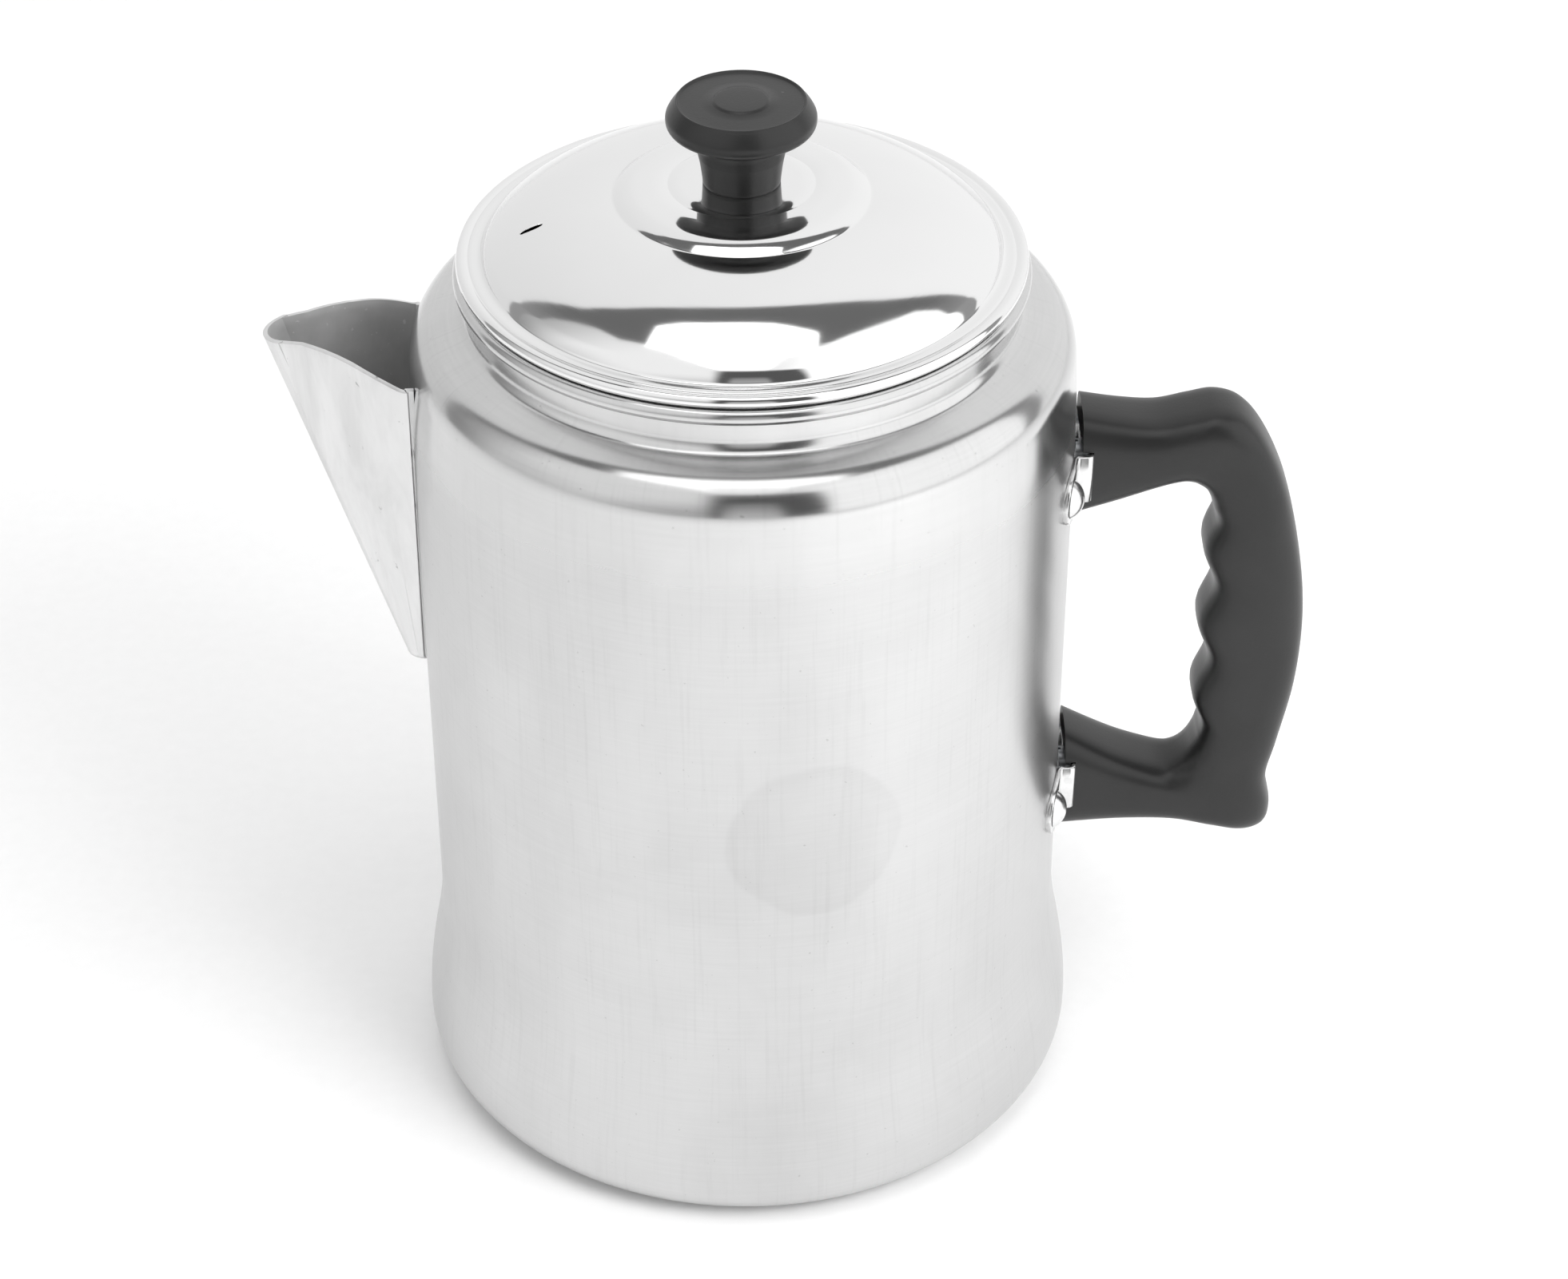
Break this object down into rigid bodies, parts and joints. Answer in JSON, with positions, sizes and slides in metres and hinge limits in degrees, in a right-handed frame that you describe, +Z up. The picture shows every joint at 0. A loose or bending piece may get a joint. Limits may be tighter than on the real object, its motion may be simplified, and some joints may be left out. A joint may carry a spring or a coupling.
{
  "type": "coffee pot",
  "caption": "Tall aluminium coffee pot with a flared foot, folded V spout, domed lift-off lid with a black knob, and a riveted black moulded handle with finger hollows.",
  "frame": {"origin": "on the body's axis, in the plane the pot stands on", "axes": "+Z up along the body's axis, +X towards the handle, -X towards the spout"},
  "size_m": [0.2375, 0.1592, 0.2562],
  "materials": {
    "body": "satin",
    "spout": "matte",
    "handle": "satin",
    "bracket": "bright",
    "rivets": "bright",
    "inserts": "turned",
    "screws": "zinc plated",
    "lid": "mirror polished",
    "collar": "satin",
    "knob": "satin"
  },
  "bodies": {
    "pot": {"body_shell": "body", "spout": "spout", "handle": "handle", "upper_bracket": "bracket", "lower_bracket": "bracket", "bracket_rivets": "rivets", "handle_inserts": "inserts", "handle_screws": "screws", "handle_spring_washers": "screws"},
    "lid": {"lid_shell": "lid", "lid_collar": "collar", "knob": "knob", "knob_insert": "inserts", "knob_screw": "screws", "knob_washer": "screws"}
  },
  "joints": [
    {"name": "lid_lift", "type": "slide", "parent": "pot", "child": "lid", "axis": [0, 0, 1], "range_m": [0, 0.08]}
  ]
}
